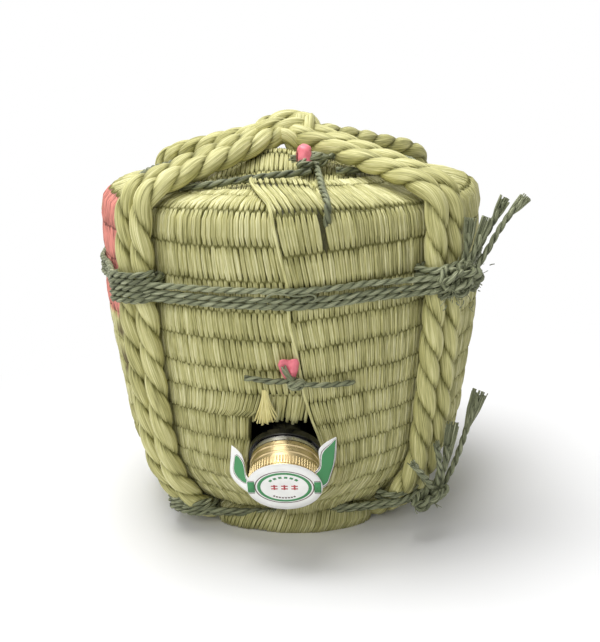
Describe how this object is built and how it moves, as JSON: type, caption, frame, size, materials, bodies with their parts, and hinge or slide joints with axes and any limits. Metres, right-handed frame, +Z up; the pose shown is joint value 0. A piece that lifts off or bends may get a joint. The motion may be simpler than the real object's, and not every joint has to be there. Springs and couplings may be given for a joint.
{
  "type": "straw-wrapped sake cask",
  "caption": "Gift sake cask: a bottle padded and wrapped in rush matting, bound with straw rope and twine, with a screw cap low on its front.",
  "frame": {"origin": "middle of the foot's underside, on the surface that the cask stands on", "axes": "+Z up through the top knot, -Y towards the screw cap"},
  "size_m": [0.2073, 0.2098, 0.2],
  "materials": {
    "straw_mat": "matt woven rush",
    "straw_rope": "matt twisted straw",
    "dyed_twine": "matt twisted twine",
    "pink_ribbon": "satin ribbon",
    "black_gloss": "gloss",
    "silver_metal": "satin",
    "gold_metal": "satin gold",
    "liner_foam": "matt",
    "seal_paper": "matt paper"
  },
  "bodies": {
    "cask": {"outer_mat": "straw_mat", "top_mat": "straw_mat", "inner_mat": "straw_mat", "foot": "straw_mat", "straw_tuft": "straw_mat", "rope_front_right": "straw_rope", "rope_back_right": "straw_rope", "rope_back_left": "straw_rope", "rope_front_left": "straw_rope", "top_knot": "straw_rope", "girth_twine": "dyed_twine", "base_twine": "dyed_twine", "girth_knot": "dyed_twine", "base_knot": "dyed_twine", "girth_tail_long": "dyed_twine", "girth_tail_short": "dyed_twine", "base_tail_long": "dyed_twine", "top_lacing": "dyed_twine", "lacing_knot": "dyed_twine", "rim_riser": "dyed_twine", "front_stitch": "dyed_twine", "stitch_knot": "dyed_twine", "top_tag": "pink_ribbon", "front_tag": "pink_ribbon", "bottle": "black_gloss", "tamper_ring": "silver_metal"},
    "seal": {"paper_seal": "seal_paper"},
    "cap": {"screw_cap": "gold_metal", "cap_liner": "liner_foam"}
  },
  "joints": [
    {"name": "cap_travel", "type": "slide", "parent": "cask", "child": "seal", "axis": [0, -0.866, -0.5], "range_m": [0, 0.009]},
    {"name": "cap_turn", "type": "hinge", "parent": "seal", "child": "cap", "pos_m": [0, -0.103, 0.041], "axis": [0, -0.866, -0.5], "range_deg": [0, 811]}
  ],
  "couplings": [
    {"joint": "cap_turn", "follows": "cap_travel", "rad_per_m": 1570.8}
  ]
}
